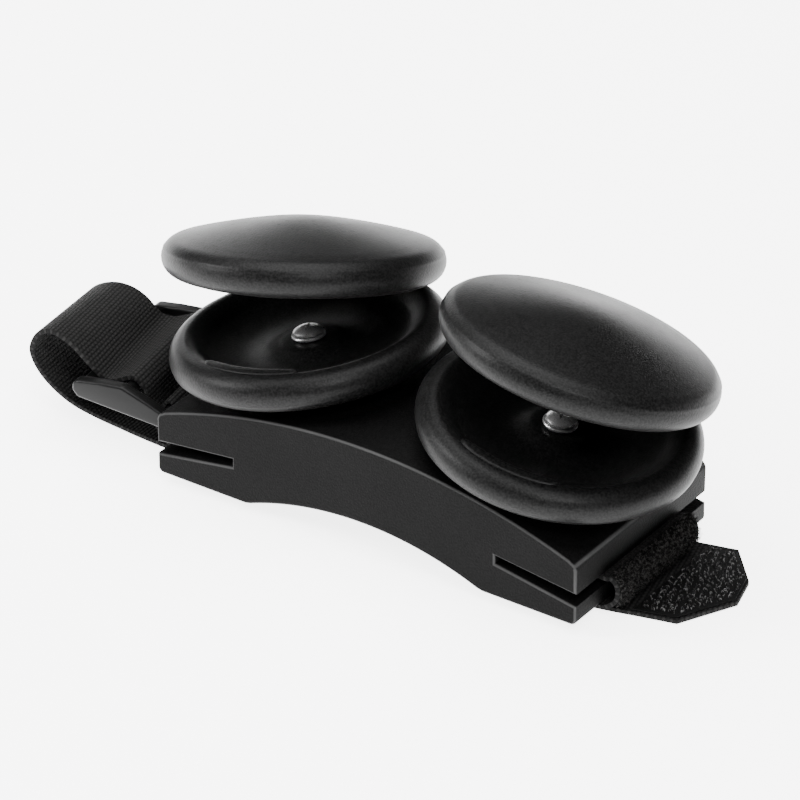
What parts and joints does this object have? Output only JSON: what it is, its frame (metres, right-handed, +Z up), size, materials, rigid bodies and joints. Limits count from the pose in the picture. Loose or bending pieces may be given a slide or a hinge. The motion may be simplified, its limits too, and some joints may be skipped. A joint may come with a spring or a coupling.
{
  "type": "foot castanets",
  "caption": "Arched board with a cinch strap and ladder-lock buckle, carrying paired hinged clapper shells that are struck together by the foot.",
  "frame": {"origin": "on the ground under the middle of the board, on the underside of the strap's tail", "axes": "+X along the board towards the strap's free end, -Y towards the open mouths of the shells, +Z up"},
  "size_m": [0.2185, 0.082, 0.0758],
  "materials": {
    "shell_black": "satin moulded plastic",
    "board_black": "matte black",
    "pad_black": "matte",
    "cord_black": "covered elastic cord",
    "chrome": "bright plated",
    "screw_black": "black oxide",
    "buckle_black": "satin moulded plastic",
    "web_black": "woven webbing",
    "hook_black": "hook tape",
    "pile_black": "looped pile tape"
  },
  "bodies": {
    "base": {"base_board": "board_black", "strap_anchor_run": "web_black", "strap_tail": "web_black", "pile_tape": "pile_black", "hook_tape": "hook_black", "buckle_tab": "web_black", "left_lower_shell": "shell_black", "left_seat_pad": "pad_black", "left_shell_screw": "chrome", "left_screw_washer": "chrome", "left_hinge_cord_lower": "cord_black", "left_anchor_screw_front": "screw_black", "left_anchor_screw_back": "screw_black", "right_lower_shell": "shell_black", "right_seat_pad": "pad_black", "right_shell_screw": "chrome", "right_screw_washer": "chrome", "right_hinge_cord_lower": "cord_black", "right_anchor_screw_front": "screw_black", "right_anchor_screw_back": "screw_black"},
    "left_castanet": {"left_upper_shell": "shell_black", "left_hinge_cord_upper": "cord_black"},
    "right_castanet": {"right_upper_shell": "shell_black", "right_hinge_cord_upper": "cord_black"},
    "buckle_loop": {"buckle": "buckle_black", "strap_loop": "web_black"}
  },
  "joints": [
    {"name": "left_shell_hinge", "type": "hinge", "parent": "base", "child": "left_castanet", "pos_m": [-0.041, 0.0413, 0.04299], "axis": [-0.9848, 0, -0.1736], "range_deg": [-16.5, 15], "stiffness_Nm_per_rad": 0.12, "springref_deg": 5.73},
    {"name": "right_shell_hinge", "type": "hinge", "parent": "base", "child": "right_castanet", "pos_m": [0.041, 0.0413, 0.04299], "axis": [-0.9848, 0, 0.1736], "range_deg": [-16.5, 15], "stiffness_Nm_per_rad": 0.12, "springref_deg": 5.73},
    {"name": "buckle_swing", "type": "hinge", "parent": "base", "child": "buckle_loop", "pos_m": [-0.0755, 0, 0.0132], "axis": [-0.165, 0.9863, 0], "range_deg": [0, 14]}
  ]
}
